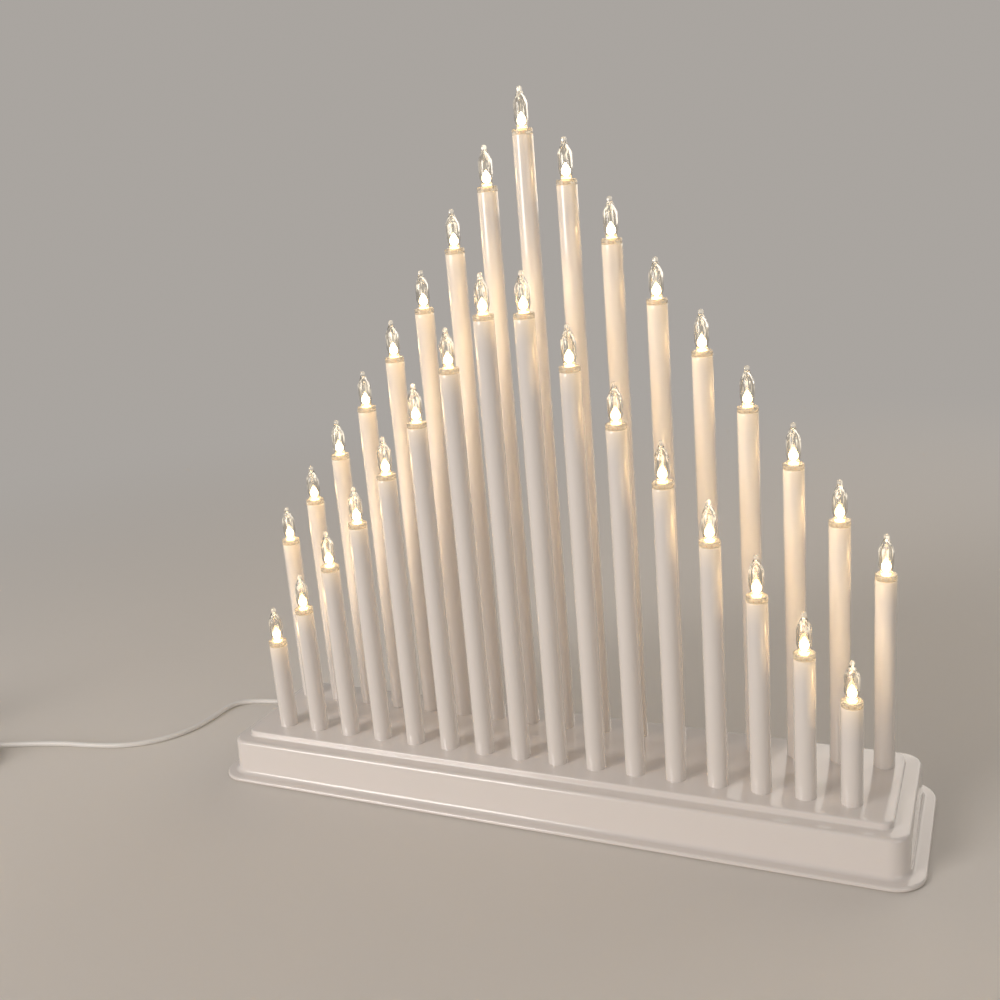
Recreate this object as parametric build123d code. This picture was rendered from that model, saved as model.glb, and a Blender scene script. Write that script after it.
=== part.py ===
from build123d import *
import os
from math import cos, dist, pi, radians, sin, tan

# A candle arch: two rows of upright candle tubes on a long hollow base, rising in steps to
# the middle, each tube with a holder in its top and a clear flame-shaped lamp that pulls out.
# Millimetres. X runs along the arch, the front is towards -Y, and the feet stand on Z = 0.

# The base's outline, from the flange at the bottom to the raised deck
BASE_LENGTH = 376.0
BASE_DEPTH = 95.6
BASE_HEIGHT = 24.4
FLANGE_THICK = 2.0
FLANGE_CORNER = 15.0
FLANGE_EDGE = 0.9
FLANGE_REACH = 6.3
ROOT_EDGE = 1.4
WALL_CORNER = 9.0
WALL_DRAFT = 2.0
RIM_RADIUS = 1.6
LEDGE_WIDTH = 7.3
DECK_STEP = 3.3
DECK_CORNER = 4.0
DECK_EDGE = 0.9

# The base's hollow inside and its closing plate
SHELL_THICK = 2.2
RIB_THICK = 1.6
RIB_CLEAR = 0.4
RIB_DEPTH = 8.0
PLATE_SINK = 1.2
PLATE_THICK = 2.0
PLATE_GAP = 0.2
RAIL_HEIGHT = 3.0
RAIL_THICK = 2.0
RAIL_SPREAD = 7.4

# Feet and screws under the base
FOOT_STAND = 0.5
FOOT_RADIUS = 5.0
FOOT_INSET = 14.0
SCREW_RADIUS = 1.3
SCREW_LENGTH = 9.0
SCREW_HEAD_RADIUS = 2.6
SCREW_HEAD = 1.1
SCREW_CLEAR = 0.1
SCREW_INSET = 15.0
POST_SIDE = 7.0
POST_BORE = 10.0

# The candle tubes: how far each length stands above the deck, shortest first
TUBE_HEIGHTS = (48.4, 69.4, 95.2, 120.2, 146.9, 173.7, 200.3, 225.1, 254.0, 282.4, 307.0)
TUBE_RADIUS = 5.0
TUBE_WALL = 1.1
TUBE_CLEAR = 0.05
ROW_END_ROOM = 8.9
ROW_SIDE_ROOM = 14.2
FRONT_COUNT = 16
BACK_COUNT = 17
BACK_SKIP_COUNT = 2

# The holder in a tube's top, and the lamp that is pushed into it
HOLDER_RIM = 2.7
HOLDER_PLUG = 5.0
HOLDER_CLEAR = 0.1
PRONG_LONG = 4.2
PRONG_WIDE = 3.0
PRONG_DEPTH = 6.0
LAMP_CLEAR = 0.1
LENS_RADIUS = 3.5
LENS_NECK_RADIUS = 2.6
LENS_NECK = 3.6
LENS_SHOULDER = 11.0
LENS_TIP_RADIUS = 0.9
LENS_HEIGHT = 19.1

# The wires inside the base and the tubes, and the block that joins them to the lead
WIRE_RADIUS = 0.7
BUS_RADIUS = 1.1
BLOCK_LENGTH = 14.0
BLOCK_DEPTH = 7.0
BLOCK_HEIGHT = 9.0
LINK_SPREAD = 3.2
LINK_LIFT = 0.3
LINK_BEND_SHARE = 0.3

# The lead's way out through the back wall, in the gap between two tubes of the back row
LEAD_GAP = 1.5
LEAD_HEIGHT = 9.0
LEAD_RADIUS = 1.6
RELIEF_RADIUS = 2.6
RELIEF_LIP_RADIUS = 3.6
RELIEF_LIP = 1.2
RELIEF_REACH = 8.0
RELIEF_TIP_RADIUS = 2.0
RELIEF_CLEAR = 0.05

# The lead's free stretch: along the floor behind the base, round its left end and away,
# as places from the base's back left corner
LEAD_STRAIGHT = 5.5
LEAD_ROUTE = (
    (51.6, 12.6, 7.9),
    (46.6, 16.0, 6.2),
    (39.4, 16.8, 4.2),
    (29.6, 15.0, 2.5),
    (17.0, 10.4, 1.7),
    (0.5, 2.8, 1.6),
    (-16.5, -2.2, 1.6),
    (-34.5, -5.4, 1.6),
    (-46.0, -9.2, 1.6),
    (-51.8, -18.4, 1.6),
    (-51.4, -31.8, 1.6),
    (-53.6, -50.3, 1.6),
    (-62.5, -66.8, 1.6),
    (-78.5, -79.3, 1.6),
    (-100.0, -85.8, 1.7),
)
BEND_SHARE = 0.45
LEAD_MEET = (-128.0, -91.3)

# The coil that the rest of the lead is wound into, and the tie that holds it
COIL_FAR = 18.0
COIL_HEADING = 200.0
COIL_ENTRY = 40.0
COIL_TAIL = 32.0
COIL_RADIUS = 26.6
COIL_STEP = 4.3
COIL_LAYERS = 2
COIL_HALF_TURNS = 7
COIL_SAMPLES = 900
TIE_THICK = 0.8
TIE_WIDTH = 5.0
TIE_CLEAR = 0.3

# The plug-in adaptor at the lead's far end
ADAPTOR_LENGTH = 60.0
ADAPTOR_DEPTH = 38.0
ADAPTOR_WIDTH = 30.0
ADAPTOR_CORNER = 3.0
SLEEVE_LENGTH = 12.0
SLEEVE_TIP_RADIUS = 2.2
SLEEVE_RADIUS = 3.2
PIN_RADIUS = 2.0
PIN_LENGTH = 19.0
PIN_SPACING = 19.0
PIN_INSET = 16.0

OVERRUN = 1.0

# How many flats the pieces that repeat, the hidden ones and the cords are rounded with
TUBE_SIDES = 10
LENS_SIDES = 10
SMALL_SIDES = 12
HIDDEN_SIDES = 6
CORD_SIDES = 4

# Heights and outlines that follow from the sizes above
FLANGE_TOP = FOOT_STAND + FLANGE_THICK
DECK_TOP = FOOT_STAND + BASE_HEIGHT
DECK_UNDER = DECK_TOP - SHELL_THICK
LEDGE_TOP = DECK_TOP - DECK_STEP
LEDGE_UNDER = LEDGE_TOP - SHELL_THICK
WALL_LENGTH = BASE_LENGTH - 2 * FLANGE_REACH
WALL_DEPTH = BASE_DEPTH - 2 * FLANGE_REACH
WALL_LEAN = (LEDGE_TOP - FLANGE_TOP) * tan(radians(WALL_DRAFT))
DECK_LENGTH = WALL_LENGTH - 2 * (WALL_LEAN + LEDGE_WIDTH)
DECK_DEPTH = WALL_DEPTH - 2 * (WALL_LEAN + LEDGE_WIDTH)
TUBE_PITCH = (DECK_LENGTH - 2 * ROW_END_ROOM) / (BACK_COUNT - 1)
ROW_SPACING = DECK_DEPTH - 2 * ROW_SIDE_ROOM
HOLLOW_LENGTH = WALL_LENGTH - 2 * SHELL_THICK
HOLLOW_DEPTH = WALL_DEPTH - 2 * SHELL_THICK
HOLLOW_CORNER = WALL_CORNER - SHELL_THICK
PLATE_LOW = FOOT_STAND + PLATE_SINK
PLATE_TOP = PLATE_LOW + PLATE_THICK
RAIL_TOP = PLATE_TOP + RAIL_HEIGHT
BUS_HEIGHT = PLATE_TOP + BUS_RADIUS
TUBE_BORE = TUBE_RADIUS - TUBE_WALL
COIL_HEIGHT = LEAD_RADIUS + TIE_CLEAR + TIE_THICK
HEADING = Vector(cos(radians(COIL_HEADING)), sin(radians(COIL_HEADING)))
OUTWARD = Vector(HEADING.Y, -HEADING.X)


def row_places(count, side):
    """Each candle's X, Y and length number in a row; side is -1 for the front and 1 for the back."""
    first = BACK_SKIP_COUNT if side > 0 else 0
    middle = (count - 1) / 2
    return [
        ((i - middle) * TUBE_PITCH, side * ROW_SPACING / 2, first + min(i, count - 1 - i))
        for i in range(count)
    ]


FRONT_ROW = row_places(FRONT_COUNT, -1)
BACK_ROW = row_places(BACK_COUNT, 1)
ALL_PLACES = FRONT_ROW + BACK_ROW
LEAD_X = BACK_ROW[0][0] + LEAD_GAP * TUBE_PITCH


def corner_places(length, depth, count=2):
    """Places spread evenly over a length, at both ends of a depth."""
    along = [length * (i / (count - 1) - 1 / 2) for i in range(count)]
    return [(x, side * depth / 2) for x in along for side in (-1, 1)]


SCREW_PLACES = corner_places(HOLLOW_LENGTH - 2 * SCREW_INSET, HOLLOW_DEPTH - POST_SIDE, 3)
FOOT_PLACES = corner_places(
    HOLLOW_LENGTH - 2 * (SCREW_INSET + FOOT_INSET), HOLLOW_DEPTH - 2 * FOOT_INSET)


def rounded_block(length, depth, corner, low, high, draft=0.0):
    """An upright block with rounded corners, drawn in towards its top by draft degrees."""
    outline = Pos(0, 0, low) * RectangleRounded(length, depth, corner)
    return extrude(outline, high - low, taper=draft)


def prism(sides, radius, low, high):
    """An upright prism; its radius is to its corners."""
    return extrude(Pos(0, 0, low) * RegularPolygon(radius, sides), high - low)


def faceted(rings, sides):
    """An upright round solid with flat sides, from its rings' heights and corner radii."""
    turns = [2 * pi * i / sides for i in range(sides)]
    loops = [[Vector(r * cos(t), r * sin(t), z) for t in turns] for z, r in rings]
    faces = [Face(Wire.make_polygon(loops[0])), Face(Wire.make_polygon(loops[-1]))]
    for low, high in zip(loops, loops[1:]):
        for i in range(sides):
            corners = (low[i - 1], low[i], high[i], high[i - 1])
            faces.append(Face(Wire.make_polygon(corners)))
    return Solid(Shell(faces))


def level_edges(shape, height):
    """A shape's edges that lie level at a height."""
    return shape.edges().filter_by_position(Axis.Z, height, height)


def base_outside():
    """The base as one solid: flange, drafted wall with a rounded rim, and the raised deck."""
    flange = rounded_block(BASE_LENGTH, BASE_DEPTH, FLANGE_CORNER, FOOT_STAND, FLANGE_TOP)
    flange = chamfer(level_edges(flange, FLANGE_TOP), FLANGE_EDGE)
    wall = rounded_block(WALL_LENGTH, WALL_DEPTH, WALL_CORNER, FLANGE_TOP, LEDGE_TOP, WALL_DRAFT)
    wall = fillet(level_edges(wall, LEDGE_TOP), RIM_RADIUS)
    deck = rounded_block(DECK_LENGTH, DECK_DEPTH, DECK_CORNER, LEDGE_TOP, DECK_TOP)
    deck = chamfer(level_edges(deck, DECK_TOP), DECK_EDGE)
    body = flange + wall + deck
    at_wall = WALL_LENGTH / 2 + FLANGE_REACH / 2
    root = [edge for edge in level_edges(body, FLANGE_TOP)
            if edge.bounding_box().max.X < at_wall and edge.bounding_box().min.X > -at_wall
            and abs(edge.center().Y) < WALL_DEPTH / 2 + FLANGE_REACH / 2]
    return chamfer(root, ROOT_EDGE)


def base_room():
    """The room inside the base: up to the ledge, and higher under the deck."""
    low = rounded_block(
        HOLLOW_LENGTH, HOLLOW_DEPTH, HOLLOW_CORNER, FOOT_STAND - OVERRUN, LEDGE_UNDER, WALL_DRAFT)
    high = rounded_block(
        DECK_LENGTH - 2 * SHELL_THICK, DECK_DEPTH - 2 * SHELL_THICK, DECK_CORNER - SHELL_THICK,
        PLATE_TOP, DECK_UNDER)
    return low + high


def guide_ribs():
    """Pairs of ribs under the deck; the tubes of a row stand between a pair."""
    beside = TUBE_RADIUS + RIB_CLEAR + RIB_THICK / 2
    rib = Box(DECK_LENGTH - 2 * SHELL_THICK, RIB_THICK, RIB_DEPTH)
    return [
        Pos(0, row * ROW_SPACING / 2 + side * beside, DECK_UNDER - RIB_DEPTH / 2) * rib
        for row in (-1, 1)
        for side in (-1, 1)
    ]


def screw_posts(room):
    """Posts from the ledge down to the plate, one over each screw, with a bore for it."""
    height = LEDGE_UNDER - PLATE_TOP
    post = Pos(0, 0, PLATE_TOP + height / 2) * Box(POST_SIDE, POST_SIDE, height)
    bore = prism(HIDDEN_SIDES, SCREW_RADIUS + SCREW_CLEAR, PLATE_TOP, PLATE_TOP + POST_BORE)
    return [(Pos(x, y, 0) * post & room) - Pos(x, y, 0) * bore for x, y in SCREW_PLACES]


def base_cover():
    """The moulded base: a shell with tube sockets, guide ribs, screw posts and the lead's hole."""
    room = base_room()
    shell = base_outside() - room + guide_ribs() + screw_posts(room)
    socket = prism(TUBE_SIDES, TUBE_RADIUS + TUBE_CLEAR, DECK_UNDER - OVERRUN, DECK_TOP + OVERRUN)
    inside = WALL_DEPTH / 2 - 2 * SHELL_THICK
    lead_hole = prism(SMALL_SIDES, RELIEF_RADIUS + RELIEF_CLEAR, inside, WALL_DEPTH / 2 + OVERRUN)
    lead_hole = Pos(LEAD_X, 0, LEAD_HEIGHT) * Rot(-90, 0, 0) * lead_hole
    return shell - [Pos(x, y, 0) * socket for x, y, level in ALL_PLACES] - lead_hole


def bottom_plate():
    """The plate that closes the base, with screw holes and two rails under each row of tubes."""
    plate = rounded_block(
        HOLLOW_LENGTH - 2 * PLATE_GAP, HOLLOW_DEPTH - 2 * PLATE_GAP, HOLLOW_CORNER - PLATE_GAP,
        PLATE_LOW, PLATE_TOP)
    rail = Box((BACK_COUNT - 1) * TUBE_PITCH + 2 * TUBE_RADIUS, RAIL_THICK, RAIL_HEIGHT)
    for row in (-1, 1):
        for side in (-1, 1):
            y = row * ROW_SPACING / 2 + side * RAIL_SPREAD / 2
            plate += Pos(0, y, PLATE_TOP + RAIL_HEIGHT / 2) * rail
    hole = prism(HIDDEN_SIDES, SCREW_RADIUS + SCREW_CLEAR, PLATE_LOW - OVERRUN, PLATE_TOP + OVERRUN)
    return plate - [Pos(x, y, 0) * hole for x, y in SCREW_PLACES]


def rubber_feet():
    """Round rubber pads stuck under the plate."""
    pad = prism(SMALL_SIDES, FOOT_RADIUS, 0, PLATE_LOW)
    return [Pos(x, y, 0) * pad for x, y in FOOT_PLACES]


def cover_screws():
    """The screws that hold the plate to the cover's posts."""
    head = prism(HIDDEN_SIDES, SCREW_HEAD_RADIUS, PLATE_LOW - SCREW_HEAD, PLATE_LOW)
    screw = head + prism(HIDDEN_SIDES, SCREW_RADIUS, PLATE_LOW, PLATE_LOW + SCREW_LENGTH)
    return [Pos(x, y, 0) * screw for x, y in SCREW_PLACES]


def tube_top(level):
    """The height of a tube's upper end."""
    return DECK_TOP + TUBE_HEIGHTS[level]


def candle_tubes(level):
    """All tubes of one length: from the plate's rails up through the deck, hollow for the wires."""
    tube = prism(TUBE_SIDES, TUBE_RADIUS, RAIL_TOP, tube_top(level))
    tube -= prism(HIDDEN_SIDES, TUBE_BORE, RAIL_TOP - OVERRUN, tube_top(level) + OVERRUN)
    return [Pos(x, y, 0) * tube for x, y, own in ALL_PLACES if own == level]


def lamp_holders():
    """A holder in every tube: a rim on its end and a plug in its bore, slotted for the lamp."""
    rim = prism(TUBE_SIDES, TUBE_RADIUS, 0, HOLDER_RIM)
    plug = prism(HIDDEN_SIDES, TUBE_BORE - HOLDER_CLEAR, -HOLDER_PLUG, 0)
    slot = Pos(0, 0, (HOLDER_RIM - HOLDER_PLUG) / 2) * Box(
        PRONG_LONG + 2 * LAMP_CLEAR, PRONG_WIDE + 2 * LAMP_CLEAR,
        HOLDER_RIM + HOLDER_PLUG + 2 * OVERRUN)
    holder = rim + plug - slot
    return [Pos(x, y, tube_top(level)) * holder for x, y, level in ALL_PLACES]


def lamp():
    """A lamp: a flat prong under a clear body with a drawn-in neck, a straight side and a cone."""
    prong = Pos(0, 0, -PRONG_DEPTH / 2) * Box(PRONG_LONG, PRONG_WIDE, PRONG_DEPTH)
    rings = (
        (0, LENS_NECK_RADIUS),
        (LENS_NECK, LENS_RADIUS),
        (LENS_SHOULDER, LENS_RADIUS),
        (LENS_HEIGHT, LENS_TIP_RADIUS),
    )
    return faceted(rings, LENS_SIDES) + prong


def lamps(row, letter):
    """The row's lamps by name, each standing in its holder."""
    seat = HOLDER_RIM + LAMP_CLEAR
    one = lamp()
    return {
        f"lamp_{letter}{i + 1:02d}": [Pos(x, y, tube_top(level) + seat) * one]
        for i, (x, y, level) in enumerate(row)
    }


def bend_radii(points):
    """The largest radius that each corner's two runs leave room for."""
    radii = []
    for before, corner, after in zip(points, points[1:], points[2:]):
        turn = (Vector(corner) - Vector(before)).get_angle(Vector(after) - Vector(corner))
        run = min(dist(before, corner), dist(corner, after))
        radii.append(BEND_SHARE * run / tan(radians(turn / 2)))
    return radii


def cord_section(radius):
    """A cord's section, with a flat side below."""
    return RegularPolygon(radius, CORD_SIDES, rotation=90 - 180 / CORD_SIDES)


def swept(path, radius, guide=None):
    """A cord swept along a path; a guide line above the path keeps the cord's flats level."""
    section = Plane(origin=path @ 0, z_dir=path % 0) * cord_section(radius)
    return sweep(section, path=path, binormal=guide)


def report(name, path, tube):
    """Prints a cord's length and how much of its full volume the swept tube has."""
    full = cord_section(LEAD_RADIUS).area * path.length
    print(name, "length", round(path.length, 1), "volume share", round(tube.volume / full, 4))


def block_front():
    """The Y of the joining block's front face, just behind the back row's guide rib."""
    return ROW_SPACING / 2 + TUBE_RADIUS + TUBE_CLEAR + RIB_THICK


def joining_block():
    """The block on the plate in which the lead's cores are joined to the wires."""
    place = Pos(LEAD_X, block_front() + BLOCK_DEPTH / 2, PLATE_TOP + BLOCK_HEIGHT / 2)
    return [place * Box(BLOCK_LENGTH, BLOCK_DEPTH, BLOCK_HEIGHT)]


def row_wires(row, start_x, end_x):
    """A row's wires: one between the rails, one up each tube, and one from the joining block."""
    y = row[0][1]
    length = row[-1][0] - row[0][0] + 2 * WIRE_RADIUS
    run = Pos(-length / 2, y, BUS_HEIGHT) * Rot(0, 90, 0) * prism(HIDDEN_SIDES, BUS_RADIUS, 0, length)
    risers = [
        Pos(x, y, 0) * prism(CORD_SIDES, WIRE_RADIUS, BUS_HEIGHT, tube_top(level) - HOLDER_PLUG)
        for x, y, level in row]
    over = RAIL_TOP + WIRE_RADIUS + LINK_LIFT
    way = block_front() - y
    points = [
        (start_x, block_front(), over),
        (start_x, block_front() - way * LINK_BEND_SHARE, over),
        (end_x, y + way * LINK_BEND_SHARE, over),
        (end_x, y - WIRE_RADIUS, over),
    ]
    if start_x == end_x:
        points = [points[0], points[-1]]
    path = FilletPolyline(*points, radius=bend_radii(points)) if len(points) > 2 else Line(*points)
    drop = Pos(end_x, y, 0) * prism(CORD_SIDES, WIRE_RADIUS, BUS_HEIGHT, over)
    return [run + risers + drop + swept(path, WIRE_RADIUS)]


def wiring():
    """The wires of both rows; the front row's link passes between two tubes of each row."""
    back_x = LEAD_X + LINK_SPREAD / 2
    front_x = LEAD_X - LINK_SPREAD / 2
    return row_wires(BACK_ROW, back_x, back_x) + row_wires(
        FRONT_ROW, front_x, LEAD_X - TUBE_PITCH / 2)


def strain_relief():
    """The bush in the back wall: a lip on each side, a tapered nose, and the lead's inner end."""
    seat = WALL_DEPTH / 2
    inner = seat - SHELL_THICK - (LEAD_HEIGHT + RELIEF_LIP_RADIUS) * tan(radians(WALL_DRAFT))
    block_back = block_front() + BLOCK_DEPTH
    rings = (
        (block_back, LEAD_RADIUS),
        (inner - RELIEF_LIP, LEAD_RADIUS),
        (inner - RELIEF_LIP, RELIEF_LIP_RADIUS),
        (inner, RELIEF_LIP_RADIUS),
        (inner, RELIEF_RADIUS),
        (seat, RELIEF_RADIUS),
        (seat, RELIEF_LIP_RADIUS),
        (seat + RELIEF_LIP, RELIEF_LIP_RADIUS),
        (seat + RELIEF_LIP, RELIEF_RADIUS),
        (seat + RELIEF_REACH, RELIEF_TIP_RADIUS),
    )
    return [Pos(LEAD_X, 0, LEAD_HEIGHT) * Rot(-90, 0, 0) * faceted(rings, SMALL_SIDES)]


def lead_points():
    """The free stretch's route, from the strain relief's tip to the coil's straight end."""
    tip = (LEAD_X, WALL_DEPTH / 2 + RELIEF_REACH, LEAD_HEIGHT)
    straight = (tip[0], tip[1] + LEAD_STRAIGHT, tip[2])
    corner = Vector(-BASE_LENGTH / 2, BASE_DEPTH / 2)
    route = [tuple(corner + Vector(place)) for place in (*LEAD_ROUTE, (*LEAD_MEET, COIL_HEIGHT))]
    end = tuple(Vector(route[-1]) + HEADING * COIL_FAR)
    return [tip, straight, *route, end]


def lead():
    """The lead's free stretch as a tube of straight runs and tangent arcs."""
    points = lead_points()
    radii = bend_radii(points)
    path = FilletPolyline(*points, radius=radii)
    tube = swept(path, LEAD_RADIUS)
    report("lead", path, tube)
    print("lead radii in diameters", [round(r / (2 * LEAD_RADIUS), 1) for r in radii])
    return [tube]


def coil_marks():
    """The coil's radius and height at each half turn: inwards, up a layer, and outwards again
    to the turn before the outermost, where the lead runs on the way that it came."""
    marks = []
    for layer in range(COIL_LAYERS):
        for step in range(COIL_HALF_TURNS + 1):
            inwards = step if layer % 2 == 0 else COIL_HALF_TURNS - step
            marks.append((COIL_RADIUS - inwards * COIL_STEP / 2, COIL_HEIGHT + layer * COIL_STEP))
    return marks[:-1]


def coil_path():
    """The coil's middle line: a straight end, half turns of two arcs each, and a straight tail."""
    start = Vector(*lead_points()[-1])
    first = start + HEADING * COIL_ENTRY
    middle = first - OUTWARD * COIL_RADIUS
    points = [
        Vector(middle.X, middle.Y, height) + OUTWARD * (radius if i % 2 == 0 else -radius)
        for i, (radius, height) in enumerate(coil_marks())]
    edges = [Line(start, points[0])]
    for i, (a, b) in enumerate(zip(points, points[1:])):
        way = HEADING if i % 2 == 0 else -HEADING
        joint = (a + b) / 2 + way * ((b - a).length / 2)
        edges.append(TangentArc(a, joint, tangent=way))
        edges.append(TangentArc(joint, b, tangent=b - a))
    edges.append(Line(points[-1], points[-1] + HEADING * COIL_TAIL))
    return Wire(edges), middle


def least_gap(path, diameter):
    """The least room between a coil's turns, from points along its middle line."""
    steps = [path.position_at(i / COIL_SAMPLES) for i in range(COIL_SAMPLES + 1)]
    apart = int(pi * diameter / path.length * COIL_SAMPLES) + 1
    return min(
        (a - b).length
        for i, a in enumerate(steps)
        for b in steps[i + apart:]
    ) - diameter


def lead_coil():
    """The rest of the lead, wound in layers of turns that spiral in and out."""
    path = coil_path()[0]
    coil = swept(path, LEAD_RADIUS, path.moved(Pos(0, 0, COIL_STEP)))
    report("coil", path, coil)
    print("coil least gap", round(least_gap(path, 2 * LEAD_RADIUS), 2))
    return [coil]


def coil_tie():
    """The band round the coil's bundle, on the side away from both its ends."""
    middle = coil_path()[1]
    radii = [radius for radius, height in coil_marks()[1::2]]
    room = 2 * (LEAD_RADIUS + TIE_CLEAR)
    wide = max(radii) - min(radii) + room
    high = (COIL_LAYERS - 1) * COIL_STEP + room
    band = Rectangle(wide + 2 * TIE_THICK, high + 2 * TIE_THICK) - Rectangle(wide, high)
    where = middle - OUTWARD * ((max(radii) + min(radii)) / 2)
    plane = Plane(
        origin=(where.X, where.Y, COIL_HEIGHT + (COIL_LAYERS - 1) * COIL_STEP / 2),
        x_dir=-OUTWARD, z_dir=HEADING)
    return [extrude(plane * band, TIE_WIDTH / 2, both=True)]


def adaptor_place():
    """The frame of the adaptor, from the coil's tail: X along it and Z up."""
    end = coil_path()[0] @ 1
    return Plane(origin=end, x_dir=HEADING, z_dir=(0, 0, 1))


def adaptor_sleeve():
    """The tapered sleeve where the lead goes into the adaptor."""
    sleeve = faceted(((0, SLEEVE_TIP_RADIUS), (SLEEVE_LENGTH, SLEEVE_RADIUS)), SMALL_SIDES)
    return [adaptor_place() * Rot(0, 90, 0) * sleeve]


def adaptor_case():
    """The adaptor's case, lying on its side with rounded long edges."""
    outline = Plane.YZ * RectangleRounded(ADAPTOR_DEPTH, ADAPTOR_WIDTH, ADAPTOR_CORNER)
    case = extrude(outline, ADAPTOR_LENGTH)
    end = coil_path()[0] @ 1
    return [adaptor_place() * Pos(SLEEVE_LENGTH, 0, ADAPTOR_WIDTH / 2 - end.Z) * case]


def adaptor_pins():
    """The adaptor's two round pins, on the face that goes against the wall."""
    end = coil_path()[0] @ 1
    pin = Rot(90, 0, 0) * prism(SMALL_SIDES, PIN_RADIUS, 0, PIN_LENGTH)
    x = SLEEVE_LENGTH + ADAPTOR_LENGTH - PIN_INSET
    middle = ADAPTOR_WIDTH / 2 - end.Z
    return [
        adaptor_place() * Pos(x, -ADAPTOR_DEPTH / 2, middle + side * PIN_SPACING / 2) * pin
        for side in (-1, 1)]


def all_nodes():
    """Every node's solids by name."""
    nodes = {
        "base_cover": [base_cover()],
        "bottom_plate": [bottom_plate()],
        "rubber_feet": rubber_feet(),
        "cover_screws": cover_screws(),
        "lamp_holders": lamp_holders(),
        "wiring": wiring(),
        "joining_block": joining_block(),
        "strain_relief": strain_relief(),
        "lead": lead(),
        "lead_coil": lead_coil(),
        "coil_tie": coil_tie(),
        "adaptor_sleeve": adaptor_sleeve(),
        "adaptor_case": adaptor_case(),
        "adaptor_pins": adaptor_pins(),
    }
    for level in range(len(TUBE_HEIGHTS)):
        nodes[f"candle_tubes_{level + 1:02d}"] = candle_tubes(level)
    nodes.update(lamps(FRONT_ROW, "f"))
    nodes.update(lamps(BACK_ROW, "b"))
    return nodes


os.makedirs("parts", exist_ok=True)
for name, pieces in all_nodes().items():
    solids = [solid for piece in pieces for solid in piece.solids()]
    export_step(solids[0] if len(solids) == 1 else Compound(solids), f"parts/{name}.step")
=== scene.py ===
import math

import bmesh
import bpy
from mathutils import Matrix, Vector


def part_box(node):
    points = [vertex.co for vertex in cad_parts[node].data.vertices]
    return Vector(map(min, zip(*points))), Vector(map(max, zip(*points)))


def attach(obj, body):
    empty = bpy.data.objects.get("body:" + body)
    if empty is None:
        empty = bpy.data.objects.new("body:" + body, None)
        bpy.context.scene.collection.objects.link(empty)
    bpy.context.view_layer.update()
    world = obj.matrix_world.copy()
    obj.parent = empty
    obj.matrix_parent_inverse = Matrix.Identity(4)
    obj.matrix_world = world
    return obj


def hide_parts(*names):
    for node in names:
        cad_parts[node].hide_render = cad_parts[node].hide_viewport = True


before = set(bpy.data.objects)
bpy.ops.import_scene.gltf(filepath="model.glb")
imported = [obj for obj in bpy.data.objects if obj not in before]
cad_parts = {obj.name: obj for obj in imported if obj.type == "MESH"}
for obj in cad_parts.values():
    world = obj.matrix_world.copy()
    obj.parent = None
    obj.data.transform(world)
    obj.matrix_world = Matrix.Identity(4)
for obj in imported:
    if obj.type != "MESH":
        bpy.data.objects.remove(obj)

bpy.ops.object.select_all(action="DESELECT")
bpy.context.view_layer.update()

# ---------------------------------------------------------------- the view
# The viewpoint: a little to the right of the arch's front and above it, held by hand, so the
# picture is tilted by a few degrees.
CAMERA_PLACE = (0.2125, -0.4896, 0.3043)
CAMERA_RIGHT = (0.910346, 0.405516, -0.082627)
CAMERA_UP = (-0.034325, 0.272952, 0.961415)
CAMERA_BACK = (0.412422, -0.872384, 0.262400)
CAMERA_LENS, CAMERA_SENSOR = 39.94, 36.0
CAMERA_NEAREST = 0.01

bpy.ops.object.camera_add()
camera = bpy.context.object
camera.name = "camera"
camera.data.lens = CAMERA_LENS
camera.data.sensor_width = CAMERA_SENSOR
camera.data.clip_start = CAMERA_NEAREST
camera.matrix_world = Matrix((
    *zip(CAMERA_RIGHT, CAMERA_UP, CAMERA_BACK, CAMERA_PLACE),
    (0, 0, 0, 1),
))
bpy.context.scene.camera = camera
bpy.context.scene.view_settings.view_transform = "Standard"

# ---------------------------------------------------------------- the floor and the light
# A plain pale floor that runs out into a background of its own colour, a tall soft lamp from
# the front left, a weaker one from the right and a broad one from behind.
FLOOR_RADIUS, FLOOR_SIDES = 6.0, 96
FLOOR_NEAR, FLOOR_FAR = 0.28, 1.15
FLOOR_TONE = (0.80, 0.76, 0.71, 1)
FLOOR_ROUGHNESS, FLOOR_SHINE = 0.75, 0.2
PALE = (0.40, 0.375, 0.35, 1)
AMBIENT, AMBIENT_STRENGTH = (0.72, 0.69, 0.66, 1), 0.30
LAMP_AIM = Vector((0, 0, 0.15))
LAMPS = (
    ("key", (-0.98, -1.50, 0.74), (0.8, 1.2), 20.0, (1.0, 0.94, 0.90)),
    ("fill", (1.5, -1.0, 0.6), (0.9, 1.0), 2.5, (1.0, 0.94, 0.89)),
    ("back", (0.7, 1.7, 0.95), (1.9, 1.5), 12.0, (1.0, 0.92, 0.83)),
)


def set_values(node, values):
    """Gives a node's inputs these values, by the inputs' names."""
    for name, value in values.items():
        node.inputs[name].default_value = value


def reckon(tree, operation, *values):
    """The result of a sum on these values, each another node's output or a number."""
    node = tree.nodes.new("ShaderNodeMath")
    node.operation = operation
    for socket, value in zip(node.inputs, values):
        if isinstance(value, float):
            socket.default_value = value
        else:
            tree.links.new(value, socket)
    return node.outputs["Value"]


bpy.ops.mesh.primitive_circle_add(vertices=FLOOR_SIDES, radius=FLOOR_RADIUS, fill_type="NGON")
floor = bpy.context.object
floor.name = "floor"

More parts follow.
